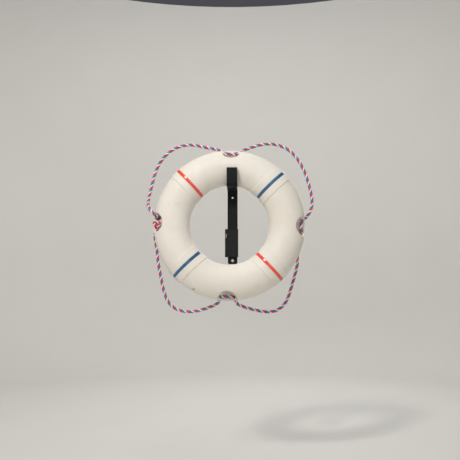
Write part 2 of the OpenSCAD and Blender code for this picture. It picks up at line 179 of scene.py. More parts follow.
class Finish:
    """A material under construction: a Principled shader and the nodes that feed it."""

    def __init__(self, name, **fixed):
        self.material = bpy.data.materials.new(name)
        self.material.use_nodes = True
        self.nodes = self.material.node_tree.nodes
        self.shader = self.nodes["Principled BSDF"]
        for socket, value in fixed.items():
            self.shader.inputs[socket.replace("_", " ")].default_value = value
        self.place = self.nodes.new("ShaderNodeTexCoord").outputs["Object"]

    def add(self, kind, inputs, output=0, **settings):
        """Adds a node, sets or joins its inputs, and returns one of its outputs."""
        node = self.nodes.new("ShaderNode" + kind)
        for key, value in settings.items():
            setattr(node, key, value)
        for socket, value in inputs.items():
            self.join(node.inputs[socket], value)
        return node.outputs[output]

    def join(self, socket, value):
        """Joins an output to a socket, or sets the socket to a plain value."""
        if isinstance(value, bpy.types.NodeSocket):
            self.material.node_tree.links.new(value, socket)
        else:
            socket.default_value = value

    def stretched(self, scale):
        """Object coordinates multiplied along each axis."""
        return self.add("Mapping", {"Vector": self.place, "Scale": scale})

    def noise(self, scale, detail=3.0, roughness=0.5, place=None):
        """Smooth random clouds over the object's coordinates, or over stretched ones."""
        inputs = {"Vector": place or self.place, "Scale": scale, "Detail": detail, "Roughness": roughness}
        return self.add("TexNoise", inputs)

    def cells(self, scale):
        """The distance to the nearest of many scattered points."""
        return self.add("TexVoronoi", {"Vector": self.place, "Scale": scale}, output="Distance")

    def apart(self, spot, scale):
        """Distance to a spot, after multiplying the axes by a scale."""
        inputs = {0: self.stretched(scale), 1: tuple(a * b for a, b in zip(spot, scale))}
        return self.add("VectorMath", inputs, output=1, operation="DISTANCE")

    def maths(self, operation, a, b=0.0):
        """One step of arithmetic on two values, or on one."""
        return self.add("Math", {0: a, 1: b}, operation=operation)

    def between(self, value, low, high, out_low=0.0, out_high=1.0):
        """The value spread from low..high to out_low..out_high, and held at both ends."""
        inputs = {"Value": value, "From Min": low, "From Max": high, "To Min": out_low, "To Max": out_high}
        return self.add("MapRange", inputs)

    def blend(self, share, first, second):
        """A colour that goes from the first to the second as the share goes from 0 to 1."""
        return self.add("Mix", {0: share, 6: first, 7: second}, output=2, data_type="RGBA")

    def hair_scratches(self, scale, stretch, width):
        """1 on the thin lines where a noise, squeezed along z, crosses its middle value, else 0."""
        hairs = self.noise(scale, 6.0, 0.7, self.stretched((1.0, 1.0, stretch)))
        off_line = self.maths("ABSOLUTE", self.maths("SUBTRACT", hairs, 0.5))
        return self.between(off_line, 0.0, width, 1.0, 0.0)

    def bump(self, height, distance, under=None):
        """A normal tilted by a height pattern, on top of an earlier bump if there is one."""
        inputs = {"Height": height, "Distance": distance, "Strength": 1.0}
        if under:
            inputs["Normal"] = under
        return self.add("Bump", inputs)

    def done(self, colour, roughness, normal):
        """Joins the three varying looks to the shader and returns the material."""
        self.join(self.shader.inputs["Base Color"], colour)
        self.join(self.shader.inputs["Roughness"], roughness)
        self.join(self.shader.inputs["Normal"], normal)
        return self.material


def rgb(red, green, blue):
    """A colour given as it looks, 0 to 255, turned into the linear values that a shader takes."""
    shown = np.array([red, green, blue]) / 255
    linear = np.where(shown <= 0.04045, shown / 12.92, ((shown + 0.055) / 1.055) ** 2.4)
    return (*linear.tolist(), 1.0)


SCUFF_PLACE = (-0.128, -0.105, -0.209)
SCUFF_TIGHTNESS = (80.0, 30.0, 170.0)


def moulded_shell():
    """Cream moulded plastic: cloudy ageing, stains, dust specks, hair scratches, one scuff and waves."""
    f = Finish("moulded_cream_shell", IOR=1.45)
    clouds = f.noise(9.0, 4.0, 0.55)
    colour = f.blend(f.between(clouds, 0.35, 0.7), rgb(240, 235, 226), rgb(234, 227, 215))
    stains = f.noise(38.0, 5.0, 0.6)
    colour = f.blend(f.between(stains, 0.6, 0.82, 0.0, 0.35), colour, rgb(196, 184, 160))
    specks = f.cells(170.0)
    colour = f.blend(f.between(specks, 0.05, 0.1, 0.3, 0.0), colour, rgb(150, 138, 118))
    scratched = f.hair_scratches(30.0, 9.0, 0.006)
    colour = f.blend(f.maths("MULTIPLY", scratched, 0.16), colour, rgb(206, 199, 186))
    roughness = f.between(f.noise(55.0, 4.0), 0.3, 0.7, 0.46, 0.58)
    roughness = f.maths("ADD", roughness, f.maths("MULTIPLY", scratched, 0.12))
    scuffed = f.maths("SUBTRACT", f.apart(SCUFF_PLACE, SCUFF_TIGHTNESS), stains)
    colour = f.blend(f.between(scuffed, 0.0, 0.3, 0.7, 0.0), colour, rgb(160, 160, 144))
    waves = f.bump(f.noise(26.0, 2.0), 0.25 * MM)
    peel = f.bump(f.noise(520.0, 2.0), 0.02 * MM, under=waves)
    return f.done(colour, roughness, f.bump(scratched, -0.02 * MM, under=peel))


def band_vinyl(name, colour, deep, worn):
    """Glossy vinyl band: depth of colour varies, thin worn scratches and a little dust."""
    f = Finish(name, IOR=1.52, Coat_Weight=0.6, Coat_Roughness=0.06)
    shade = f.blend(f.between(f.noise(24.0, 4.0), 0.3, 0.7), colour, deep)
    scratched = f.hair_scratches(90.0, 5.0, 0.008)
    shade = f.blend(f.maths("MULTIPLY", scratched, 0.25), shade, worn)
    chips = f.noise(420.0, 3.0)
    shade = f.blend(f.between(chips, 0.7, 0.76, 0.0, 0.5), shade, worn)
    roughness = f.between(f.noise(160.0, 3.0), 0.3, 0.7, 0.14, 0.26)
    normal = f.bump(f.noise(60.0, 2.0), 0.12 * MM)
    return f.done(shade, roughness, f.bump(scratched, -0.02 * MM, under=normal))


YARNS_ROUND = 9.0
YARN_TURNS_PER_METRE = 520.0


def rope_yarn(name, colour, dark, pale):
    """One strand of bundled yarns: their grooves wind against the lay and are darkened as painted shade,
    and fibres vary in tone.
    """
    f = Finish(name, Sheen_Weight=0.08, Sheen_Roughness=0.5, IOR=1.4)
    uv = f.add("UVMap", {}, uv_map="lay")
    around, along = (f.add("SeparateXYZ", {"Vector": uv}, output=k) for k in range(2))
    yarns = f.maths("MULTIPLY", around, YARNS_ROUND)
    winding = f.maths("SUBTRACT", yarns, f.maths("MULTIPLY", along, YARN_TURNS_PER_METRE))
    groove = f.maths("ABSOLUTE", f.maths("SINE", f.maths("MULTIPLY", winding, math.pi)))
    fibres = f.noise(900.0, 3.0, 0.6)
    shade = f.blend(f.between(fibres, 0.3, 0.7), colour, pale)
    # Painted shade: the colour darkens towards the dark yarn colour in the grooves between the yarns.
    shade = f.blend(f.between(groove, 0.0, 0.4, 0.5, 0.0), shade, dark)
    dirt = f.between(f.noise(45.0, 4.0), 0.5, 0.8, 0.0, 0.3)
    shade = f.blend(dirt, shade, dark)
    normal = f.bump(groove, 0.35 * MM)
    return f.done(shade, f.between(fibres, 0.3, 0.7, 0.5, 0.75), f.bump(fibres, 0.12 * MM, under=normal))


def coated_steel():
    """Black powder coat on the bars and rivets: fine grain, long faint streaks and rubbed spots."""
    f = Finish("black_coated_steel", Specular_IOR_Level=0.2)
    streaks = f.noise(60.0, 4.0, 0.6, f.stretched((1.0, 1.0, 0.06)))
    shade = f.blend(f.between(streaks, 0.35, 0.7), rgb(8, 10, 11), rgb(15, 19, 20))
    rubbed = f.noise(130.0, 5.0, 0.65)
    shade = f.blend(f.between(rubbed, 0.62, 0.78, 0.0, 0.4), shade, rgb(40, 44, 45))
    roughness = f.between(rubbed, 0.3, 0.75, 0.36, 0.56)
    normal = f.bump(f.noise(1100.0, 2.0), 0.05 * MM)
    return f.done(shade, roughness, f.bump(streaks, 0.1 * MM, under=normal))


def black_plastic():
    """Moulded black plastic of the clamp sleeve: a light spark texture, smears and slight waves."""
    f = Finish("black_moulded_plastic", Specular_IOR_Level=0.3)
    smears = f.noise(70.0, 5.0, 0.6)
    shade = f.blend(f.between(smears, 0.4, 0.75), rgb(7, 9, 10), rgb(18, 22, 22))
    roughness = f.between(smears, 0.3, 0.7, 0.28, 0.45)
    normal = f.bump(f.cells(900.0), 0.05 * MM)
    return f.done(shade, roughness, f.bump(f.noise(40.0, 2.0), 0.12 * MM, under=normal))


def black_rubber():
    """Matt rubber of the two pads: fine pits and greyer rubbed patches."""
    f = Finish("black_rubber", IOR=1.45)
    rubbed = f.noise(90.0, 5.0, 0.6)
    shade = f.blend(f.between(rubbed, 0.45, 0.75), rgb(20, 20, 20), rgb(52, 51, 49))
    normal = f.bump(f.cells(1400.0), 0.12 * MM)
    return f.done(shade, f.between(rubbed, 0.3, 0.7, 0.72, 0.9), f.bump(rubbed, 0.1 * MM, under=normal))


def bright_steel(name, shade_bright, shade_dull):
    """Bare or plated steel: turning marks, dull tarnish in clouds."""
    f = Finish(name, Metallic=1.0)
    tarnish = f.noise(240.0, 5.0, 0.65)
    shade = f.blend(f.between(tarnish, 0.4, 0.72), shade_bright, shade_dull)
    turning = f.noise(1500.0, 3.0, 0.6, f.stretched((1.0, 0.2, 0.2)))
    roughness = f.between(tarnish, 0.3, 0.72, 0.24, 0.5)
    return f.done(shade, roughness, f.bump(turning, 0.03 * MM))


def closed_cell_foam():
    """Cut foam of the core: packed round cells, darker and yellower towards each cell's sunken middle as
    painted shade in the pits.
    """
    f = Finish("closed_cell_foam")
    cells = f.cells(420.0)
    # Painted shade: darker towards each cell's middle, where the bump sinks into a pit.
    shade = f.blend(f.between(cells, 0.1, 0.6), rgb(214, 190, 130), rgb(240, 226, 184))
    return f.done(shade, f.between(cells, 0.0, 0.6, 0.95, 0.8), f.bump(cells, 0.5 * MM))


SHELL = moulded_shell()
RED_BAND = band_vinyl("red_band_vinyl", rgb(252, 86, 72), rgb(238, 66, 54), rgb(252, 180, 164))
BLUE_BAND = band_vinyl("blue_band_vinyl", rgb(46, 104, 150), rgb(32, 84, 128), rgb(140, 168, 196))
RED_YARN = rope_yarn("red_yarn", rgb(246, 34, 44), rgb(178, 18, 28), rgb(250, 70, 80))
WHITE_YARN = rope_yarn("white_yarn", rgb(246, 243, 237), rgb(190, 186, 180), rgb(253, 251, 248))
BLUE_YARN = rope_yarn("blue_yarn", rgb(0, 132, 200), rgb(0, 84, 138), rgb(10, 156, 214))
YARNS = [RED_YARN, WHITE_YARN, BLUE_YARN]
COATED_STEEL = coated_steel()
BLACK_PLASTIC = black_plastic()
BLACK_RUBBER = black_rubber()
PLATED_STEEL = bright_steel("plated_steel", rgb(190, 190, 184), rgb(120, 120, 114))
DULL_STEEL = bright_steel("dull_steel", rgb(150, 151, 144), rgb(84, 85, 80))
FOAM = closed_cell_foam()

# ---------------------------------------------------------------- camera

# It stands 2 m in front of the ring and 0.22 m below its middle, and looks slightly up.
CAMERA_PLACE = Vector((0.036, -2.058, -0.215))
CAMERA_AIM = Vector((-0.0076, RING_CENTRE[1], RING_CENTRE[2] - 17 * MM))
VIEW_WIDTH = 1.548
SENSOR = 36.0

camera_data = bpy.data.cameras.new("camera")
camera_data.sensor_width = SENSOR
camera_data.lens = SENSOR * (CAMERA_AIM - CAMERA_PLACE).length / VIEW_WIDTH
camera = bpy.data.objects.new("camera", camera_data)
bpy.context.scene.collection.objects.link(camera)
camera.location = CAMERA_PLACE
camera.rotation_euler = (CAMERA_AIM - CAMERA_PLACE).to_track_quat("-Z", "Y").to_euler()
bpy.context.scene.camera = camera

# ---------------------------------------------------------------- grab rope and its stopper knots

ROPE_D = 11 * MM
ROPE_LAY = 26 * MM
RINGS_PER_LAY = 20
STRAND_SIDES = 12
KNOT_ROPE_D = 0.86 * ROPE_D
KNOT_LAY = 60 * MM
KNOT_STEP = 1.2 * MM

# The rope's route in the ring's own frame, in millimetres: it starts in the front knot at the
# left-hand lug and runs by the bottom, right-hand and top lugs to the back knot.
HALF_PASS = [(0, 240, 14.5), (10, 240, 12), (17, 240, 5.5), (21.5, 240, -3), (25.5, 247, -24)]
ROPE_START = [(-240, -15, 12), (-240, -21.5, -3), (-247, -25.5, -24)]
SPAN_LOWER_LEFT = [
    (-256, -34.8, -39), (-255, -55, -51), (-249, -89.5, -56), (-243, -132.4, -57), (-233, -176.4, -57),
    (-222, -220.4, -57), (-206, -259.4, -57), (-184, -282.4, -57), (-154, -293.4, -57),
    (-120, -294.4, -57), (-86, -286.7, -54), (-56, -275.4, -49), (-34, -263.4, -41),
]
SPAN_LOWER_RIGHT = [
    (32, -262.4, -41), (58, -274.1, -50), (92, -282.6, -55), (128, -288.4, -57), (160, -285.4, -57),
    (186, -269.4, -57), (203, -244.4, -57), (215, -207.4, -57), (226, -167.4, -57), (235, -127.4, -57),
    (236, -90.5, -56), (246, -57.1, -50), (250, -35.8, -39),
]
SPAN_UPPER_RIGHT = [
    (260, 35, -38), (274, 54.3, -48), (283, 83.3, -54), (280, 120.6, -57), (270, 158.6, -57),
    (256, 198.6, -57), (236, 235.6, -57), (209, 267.6, -57), (175, 287.6, -57), (138, 295.6, -57),
    (102, 291.5, -56), (66, 279, -51), (34, 262.6, -41),
]
SPAN_UPPER_LEFT = [
    (-33, 260.4, -40), (-56, 270.6, -49), (-90, 277.4, -55), (-124, 284.6, -57), (-156, 285.6, -57),
    (-187, 277.6, -57), (-215, 261.6, -57), (-238, 238.6, -57), (-255, 210.6, -57), (-266, 181.6, -57),
    (-273, 150.4, -55), (-278, 118.3, -48), (-281, 87, -32), (-279, 64, -8), (-270, 48, 14),
    (-258, 34, 24), (-247, 25, 19), (-241, 21, 7), (-240, 20.5, -9),
]
FRONT_KNOT = (-242 * MM, -6 * MM, 17.3 * MM)
BACK_KNOT = (-241 * MM, 16 * MM, -16.3 * MM)


def rope_pass(angle):
    """The half pass turned to a lug's angle, first mirrored and backwards, then as it is."""
    t, out, z = np.array([(-t, r, z) for t, r, z in HALF_PASS[:0:-1]] + HALF_PASS, float).T
    c, s = math.cos(math.radians(angle)), math.sin(math.radians(angle))
    return np.stack([out * c - t * s, out * s + t * c, z], -1).tolist()


def smooth_path(points, step):
    """A curve through the points, cut into equal steps of its own length.

    Each stretch is a cubic whose end slopes are the slopes of parabolas through three points.
    """
    points = np.asarray(points, float)
    spans = np.sqrt(np.linalg.norm(np.diff(points, axis=0), axis=1))
    knots = np.concatenate([[0], np.cumsum(spans)])
    slopes = np.gradient(points, knots, axis=0)
    fine = np.linspace(0, knots[-1], 60 * len(points))
    k = np.clip(np.searchsorted(knots, fine, side="right") - 1, 0, len(spans) - 1)
    u = ((fine - knots[k]) / spans[k])[:, None]
    span = spans[k][:, None]
    curve = (1 + 2 * u) * (1 - u) ** 2 * points[k] + u * (1 - u) ** 2 * span * slopes[k]
    curve += u**2 * (3 - 2 * u) * points[k + 1] + u**2 * (u - 1) * span * slopes[k + 1]
    run = np.concatenate([[0], np.cumsum(np.linalg.norm(np.diff(curve, axis=0), axis=1))])
    even = np.linspace(0, run[-1], max(3, round(run[-1] / step) + 1))
    return np.stack([np.interp(even, run, curve[:, axis]) for axis in range(3)], -1)


def straight_frame(path, hint):
    """Directions side and up at each point of a path, square to it, that never twist round it.

    Side starts square to the path and the hint, and the sum of its small turns is taken out again.
    """
    ahead = unit(np.gradient(path, axis=0))
    side = unit(np.cross(ahead, hint))
    up = np.cross(ahead, side)
    turn = np.cumsum(np.concatenate([[0], np.sum(side[1:] * up[:-1], axis=1)]))[:, None]
    return side * np.cos(turn) - up * np.sin(turn), side * np.sin(turn) + up * np.cos(turn)


def laid_strands(path, hint, diameter, lay):
    """Three strands x rings x sides x 3: each strand's middle circles the path once in every lay.

    A strand's oval section stands square to its own run, a quarter of the rope's diameter high
    and a little wider, so that neighbours press into each other.
    """
    side, up = straight_frame(path, hint)
    run = np.concatenate([[0], np.cumsum(np.linalg.norm(np.diff(path, axis=0), axis=1))])
    turn = (2 * np.pi * (run / lay + np.arange(3)[:, None] / 3))[..., None]
    out = np.cos(turn) * side + np.sin(turn) * up
    middle = path + 0.25 * diameter * out
    across = unit(np.cross(unit(np.gradient(middle, axis=1)), out))
    a = np.linspace(0, 2 * np.pi, STRAND_SIDES, endpoint=False)[:, None]
    oval = 0.25 * np.cos(a) * out[:, :, None] + 0.275 * np.sin(a) * across[:, :, None]
    return middle[:, :, None] + diameter * oval, run[-1]


def add_strands(surface, path, hint, diameter, lay):
    """Adds a laid rope's three strands, each with its own yarn and closed ends, to a surface."""
    strands, length = laid_strands(path, hint, diameter, lay)
    for k, strand in enumerate(strands):
        surface.add(with_ends(strand), close_columns=True, finish=k, size=(1.0, length))


route = MM * np.array(
    ROPE_START + SPAN_LOWER_LEFT + rope_pass(270) + SPAN_LOWER_RIGHT + rope_pass(0)
    + SPAN_UPPER_RIGHT + rope_pass(90) + SPAN_UPPER_LEFT
)
rope_path = hang(smooth_path(route, ROPE_LAY / RINGS_PER_LAY))
from_centre = (rope_path - RING_CENTRE) * np.array([1, 0, 1])
rope_surface = Surface()
add_strands(rope_surface, rope_path, from_centre, ROPE_D, ROPE_LAY)
rope_mesh = rope_surface.mesh("grab_rope_strands", YARNS)
rope = add_piece("grab_rope_strands", rope_mesh, "ring", "rope", "grab_rope")


def stopper_knot(name, centre, radius, depth, front, phase, tail, node):
    """An overhand stopper knot: a rope along a three-lobed curve that passes over and under itself.

    The curve's distance from the middle swings three times for every two turns round it, and its
    height swings with it, scaled so that the rope just reaches the knot's radius and depth. A short
    tail comes out of the middle and ends in a fused, rounded tip.
    """
    t = np.linspace(0, 2 * np.pi, 150)
    reach, height = radius - KNOT_ROPE_D / 2, depth / 2 - KNOT_ROPE_D / 2
    swing = (2 + np.cos(3 * t)) / 3
    x, y, z = swing * np.cos(2 * t + phase), swing * np.sin(2 * t + phase), -np.sin(3 * t)
    lobes = np.stack([reach * x, reach * y, front * height * z], -1) + np.array(centre)
    surface = Surface()
    axis = np.array([0.0, -1.0, 0.0])
    add_strands(surface, hang(lobes), axis, KNOT_ROPE_D, KNOT_LAY)
    tail_points = MM * np.array(tail) * np.array([1, 1, front]) + np.array(centre)
    tail_path = hang(smooth_path(tail_points, KNOT_STEP))
    add_strands(surface, tail_path, axis + np.array([0.3, 0, 0.2]), KNOT_ROPE_D, KNOT_LAY)
    return add_piece(name, surface.mesh(name, YARNS), "ring", "rope", node)


start_knot = stopper_knot(
    "start_knot_rope", FRONT_KNOT, 15.5 * MM, 22 * MM, 1, 0.5,
    [(3, -8, -7), (3, -7, 0), (2, -6, 6), (2, -6.5, 10.5)], "start_knot",
)
end_knot = stopper_knot(
    "end_knot_rope", BACK_KNOT, 13 * MM, 20 * MM, -1, 1.4,
    [(2, 5, -7), (2, 4, 0), (1, 3, 6), (0, 3, 9.5)], "end_knot",
)

# ---------------------------------------------------------------- moulded shells

# A lug is a flat web left across the middle of a round notch, with two slanted rope holes. The
# window is the stretch of the tube's grid that is laid out afresh round a lug.
SHELL_WALL = 3 * MM
COLLAR_HALF = 29 * MM
COLLAR_RISE = 2 * MM
GROOVE_HALF = 5.3 * MM
STEP_RUN = 0.9 * MM
NOTCH_R = 35 * MM
NOTCH_AT = RING_R + 2 * MM
WEB_HALF = 6 * MM
ROPE_HOLE_R = 8.75 * MM
ROPE_HOLE_AT = RING_R - 14 * MM
ROPE_HOLE_OUT = 20.4 * MM
ROPE_HOLE_LEAN = math.radians(24)
WINDOW_HALF = math.radians(10.9)
LUG_TO_BAND = math.radians(45)
WEB_TURN = math.asin(WEB_HALF / EDGE_R)
SEAM_TURN = math.asin(0.8 * MM / EDGE_R)
SEAM_CUT = 0.6 * MM
WEB_ROUND = 0.7 * MM
NOTCH_TOP_ROUND = 2.2 * MM
NOTCH_FOOT_ROUND_FRONT = 0.9 * MM
NOTCH_FOOT_ROUND_BACK = 0.15 * MM
HOLE_SKIN = 0.2 * MM
ROUND_LINES = 6
# Leans of the lines between the web's height and the seam, where the two halves meet.
STRIP_TURNS = [WEB_TURN, math.asin(5.2 * MM / EDGE_R), 0.07, 0.035, SEAM_TURN, 0.0]


def smooth_step(share):
    """0 up to a share of 0, 1 from a share of 1, and a smooth S between them."""
    share = np.clip(share, 0, 1)
    return share**2 * (3 - 2 * share)


def turn_at(radius):
    """The lean of the oval's outward normal at a distance from the ring's centre, on its front."""
    out = np.where(
        radius - TUBE_MID_R > EDGE_OUT * CROWN_R / (CROWN_R - EDGE_R),
        (radius - TUBE_MID_R - EDGE_OUT) / EDGE_R,
        (radius - TUBE_MID_R) / CROWN_R,
    )
    return np.arccos(np.clip(out, -1, 1))


def rim_point(angle, offset, turn, grow):
    """A point of the tube beside the radius at an angle: its offset over its own radius is a sine."""
    radius, z = tube_section(turn, grow)
    around = angle + np.arcsin(offset / radius)
    return np.stack(np.broadcast_arrays(radius * np.cos(around), radius * np.sin(around), z), -1)


def rim_columns():
    """Angle, offset and collar rise of the grid lines from a band's middle to a lug's window.

    Beside the band the lines run parallel to it, closer together where the collar's two steps
    rise and fall, and from there they fan in to the radius at the window's edge.
    """
    near = GROOVE_HALF + STEP_RUN * np.linspace(-0.5, 0.5, 5)
    far = COLLAR_HALF + 2 * STEP_RUN * np.linspace(-0.5, 0.5, 7)
    offset = np.concatenate([[0, 2.5 * MM], near, np.linspace(9, 26, 5) * MM, far, [33 * MM, 36 * MM]])
    fan = np.linspace(1, 0, 10)[1:]
    up = smooth_step((offset - GROOVE_HALF) / STEP_RUN + 0.5)
    down = smooth_step((offset - COLLAR_HALF) / (2 * STEP_RUN) + 0.5)
    fan_angle = -WINDOW_HALF - (LUG_TO_BAND - WINDOW_HALF) * fan
    angle = np.concatenate([np.full(len(offset), -LUG_TO_BAND), fan_angle])
    rise = np.concatenate([COLLAR_RISE * (up - down), 0 * fan])
    return angle, np.concatenate([offset, offset[-1] * fan]), rise


def half_lug(front):
    """The grids of an eighth of a shell, from a band's middle to the middle of the lug at angle 0.

    The oval is a regular grid except in a window round the lug. There, lines run from the window's
    edge to the round notch, whose wall drops with a rounded top and foot to the flat web. The web's
    lines run from its outline to the edge of the slanted rope hole, and on down into the hole.
    """
    # The oval: the hole's side over the whole width, and the rim's side up to the window.
    angle, offset, rise = rim_columns()
    inner = np.concatenate([[np.pi], np.linspace(np.pi - SEAM_TURN, np.pi / 2, 18)])[:, None]
    outer = np.linspace(np.pi / 2, WEB_TURN, 17)[:, None]
    window = np.linspace(-WINDOW_HALF, 0, 9)
    cut = np.zeros_like(inner)
    cut[0] = SEAM_CUT
    all_angle, all_offset = np.append(angle, window[1:]), np.append(offset, 0 * window[1:])
    all_rise = np.append(rise, 0 * window[1:])
    grids = [
        (rim_point(all_angle, all_offset, inner, all_rise - cut), False),
        (rim_point(angle, offset, outer, rise), False),
    ]

    # From the window's edge to the rounded top of the notch's wall.
    edge_angle = np.concatenate([np.full(len(outer) - 1, -WINDOW_HALF), window])
    edge_turn = np.concatenate([outer[:0:-1, 0], np.full(len(window), np.pi / 2)])
    rim_at_web = tube_section(WEB_TURN)[0]
    reach = (rim_at_web**2 + NOTCH_AT**2 - NOTCH_R**2) / (2 * NOTCH_AT)
    beta_end = math.acos((NOTCH_AT - reach) / NOTCH_R)
    beta = np.linspace(-beta_end, 0, len(edge_angle))

    def beside_notch(distance):
        """Radius and angle of points at a distance from the notch's axis."""
        x, y = NOTCH_AT - distance * np.cos(beta), distance * np.sin(beta)
        return np.hypot(x, y), np.arctan2(y, x)

    depth = tube_section(turn_at(beside_notch(NOTCH_R)[0]))[1] - WEB_HALF
    widest_foot = NOTCH_FOOT_ROUND_FRONT if front else NOTCH_FOOT_ROUND_BACK
    round_top = np.minimum(NOTCH_TOP_ROUND, 0.4 * depth).clip(0, None)
    round_foot = np.minimum(widest_foot, 0.3 * depth).clip(0, None)
    radius, around = beside_notch(NOTCH_R + round_top)
    share = np.linspace(0, 1, 9)[:, None]
    fan_angle = edge_angle * (1 - share) + around * share
    fan_turn = edge_turn * (1 - share) + turn_at(radius) * share
    fan_angle[:, 0] = np.linspace(-WINDOW_HALF, around[0], 9)
    fan_turn[:, 0] = WEB_TURN
    grids.append((rim_point(fan_angle, 0.0, fan_turn, 0.0), False))

    # Down the notch's wall, from its rounded top to its rounded foot.
    bend = np.linspace(0, np.pi / 2, ROUND_LINES)[:, None]
    out_top = NOTCH_R + round_top * (1 - np.sin(bend))
    out_foot = NOTCH_R - round_foot * (1 - np.cos(bend))
    distance = np.concatenate([out_top, out_foot])
    radius, around = beside_notch(distance)
    z_top = tube_section(turn_at(radius[:ROUND_LINES]))[1] - round_top * (1 - np.cos(bend))
    z_foot = WEB_HALF + round_foot * (1 - np.sin(bend))
    z = np.concatenate([z_top, z_foot + 0 * z_top])
    z[:, 0] = tube_section(WEB_TURN)[1]
    grids.append((np.stack([radius * np.cos(around), radius * np.sin(around), z], -1), False))

    # The web: from its outline (wall's foot, middle line, rim) to the rope hole, and down into it.
    notch_angle = around[-1, 0]
    web_angle = np.linspace(0, notch_angle, 17)
    shrink = WEB_ROUND * np.minimum(1, 4 * (1 - web_angle / notch_angle))
    foot = np.stack([radius[-1] * np.cos(around[-1]), radius[-1] * np.sin(around[-1])], -1)
    rim_radius = rim_at_web - shrink
    rim = np.stack([rim_radius * np.cos(web_angle), rim_radius * np.sin(web_angle)], -1)
    middle = np.linspace(foot[-1], rim[0], 11)
    outline = np.concatenate([foot[:-1], middle[:-1], rim[:-1]])
    slant = math.tan(ROPE_HOLE_LEAN) * (-1 if front else 1)
    way = unit(outline - np.array([ROPE_HOLE_AT, -ROPE_HOLE_OUT - slant * WEB_HALF]))
    oval = ROPE_HOLE_R / np.hypot(way[:, 0], way[:, 1] * math.cos(ROPE_HOLE_LEAN))

    def rope_hole(z, spread):
        """The slanted hole's outline at heights z, widened by a spread where the notch leaves room."""
        centre = np.stack([ROPE_HOLE_AT + 0 * z, -ROPE_HOLE_OUT - slant * z], -1)[:, None]
        from_axis = centre - np.array([NOTCH_AT, 0])
        along = np.sum(way * from_axis, axis=-1)
        past = (NOTCH_R - HOLE_SKIN) ** 2 - np.sum(from_axis**2, axis=-1)
        room = np.sqrt(along**2 + past) - along
        flat = centre + way * np.minimum(oval + spread[:, None], room)[..., None]
        return np.concatenate([flat, np.broadcast_to(z[:, None, None], (*room.shape, 1))], -1)

    drop = np.concatenate([WEB_ROUND * (1 - np.cos(bend[:, 0])), [0.5 * WEB_HALF, WEB_HALF]])
    spread = np.concatenate([WEB_ROUND * (1 - np.sin(bend[:, 0])), [0, 0]])
    down = rope_hole(WEB_HALF - drop, spread)
    level = np.concatenate([outline, np.full((len(outline), 1), WEB_HALF)], -1)
    share = np.linspace(0, 1, 8)[:, None, None]
    grids += [(level * (1 - share) + down[0] * share, True), (down, True)]

    # The strip of the rim between the web's height and the seam.
    strip_turn = np.array(STRIP_TURNS)[:, None]
    lug_angle = np.concatenate([fan_angle[1:, 0], web_angle[::-1][1:]])
    strip_cut = np.zeros((len(strip_turn), len(angle) + len(lug_angle)))
    strip_cut[-1] = SEAM_CUT
    strip_angle, strip_offset = np.append(angle, lug_angle), np.append(offset, 0 * lug_angle)
    strip = rim_point(strip_angle, strip_offset, strip_turn, np.append(rise, 0 * lug_angle) - strip_cut)
    strip[0, -len(rim) + 1:, :2] = rim[::-1][1:]
    grids.append((strip, False))
    return grids


def moulded_shell_half(name, node, front):
    """One moulded half of the ring: an eighth laid eight times round, mirrored for every other one."""
    surface = Surface()
    for lug_turn in np.pi / 2 * np.arange(4):
        c, s = math.cos(lug_turn), math.sin(lug_turn)
        for mirror in (1, -1):
            for grid, closed in half_lug(front):
                x, y, z = grid[..., 0], mirror * grid[..., 1], grid[..., 2] * (1 if front else -1)
                placed = hang(np.stack([x * c - y * s, x * s + y * c, z], -1))
                surface.add(placed, close_columns=closed, size=(0.1, 0.1))
    piece = add_piece(name, surface.mesh(name, [SHELL]), "ring", "shell", node)
    wall = piece.modifiers.new("moulded_wall", "SOLIDIFY")
    wall.thickness = SHELL_WALL
    wall.offset = -1
    normals = piece.modifiers.new("even_shading", "WEIGHTED_NORMAL")
    normals.keep_sharp = False
    return piece


moulded_shell_half("moulded_front_shell", "front_shell", True)
moulded_shell_half("moulded_back_shell", "back_shell", False)

# ---------------------------------------------------------------- coloured bands


def band(place, finish, slot):
    """A band round the tube: a thin, slightly crowned strip between two planes either side of a radius.

    One parameter goes round the tube's oval and the other round the strip's own section, whose
    two ends are half round. A point's offset from the radius divided by its distance from the
    ring's centre gives the sine of its angle along the rim.
    """
    turn = np.linspace(0, 2 * np.pi, 120, endpoint=False)[:, None]
    half = BAND_W / 2 - BAND_END_R
    a = np.linspace(-np.pi / 2, np.pi / 2, 7)
    top = np.linspace(half, -half, 9)
    crowned = BAND_T - 0.1 * MM - BAND_CROWN * (top / half) ** 2
    end_out = BAND_END_R * np.cos(a)
    end_up = (crowned[0] + BAND_END_R * (np.sin(a) - 1)).clip(0.02 * MM, None)
    offset = np.concatenate([half + end_out, top[1:-1], -half - end_out])
    rise = np.concatenate([end_up, crowned[1:-1], end_up[::-1]])
    out, z = tube_section(turn, rise)
    angle = math.radians(BAND_ANGLES[place]) + np.arcsin(offset / out)
    grid = hang(np.stack([out * np.cos(angle), out * np.sin(angle), z], -1))
    surface = Surface()
    surface.add(grid, close_rows=True, close_columns=True)
    name = "vinyl_band_" + place
    return add_piece(name, surface.mesh(name, [finish]), "ring", slot, "band_" + place)


band("upper_left", RED_BAND, "band_red")
band("lower_right", RED_BAND, "band_red")
band("upper_right", BLUE_BAND, "band_blue")
band("lower_left", BLUE_BAND, "band_blue")

# ---------------------------------------------------------------- CAD nodes with softened edges


FLAT_WITHIN = math.radians(0.2)
SHARP_OVER = math.radians(32)


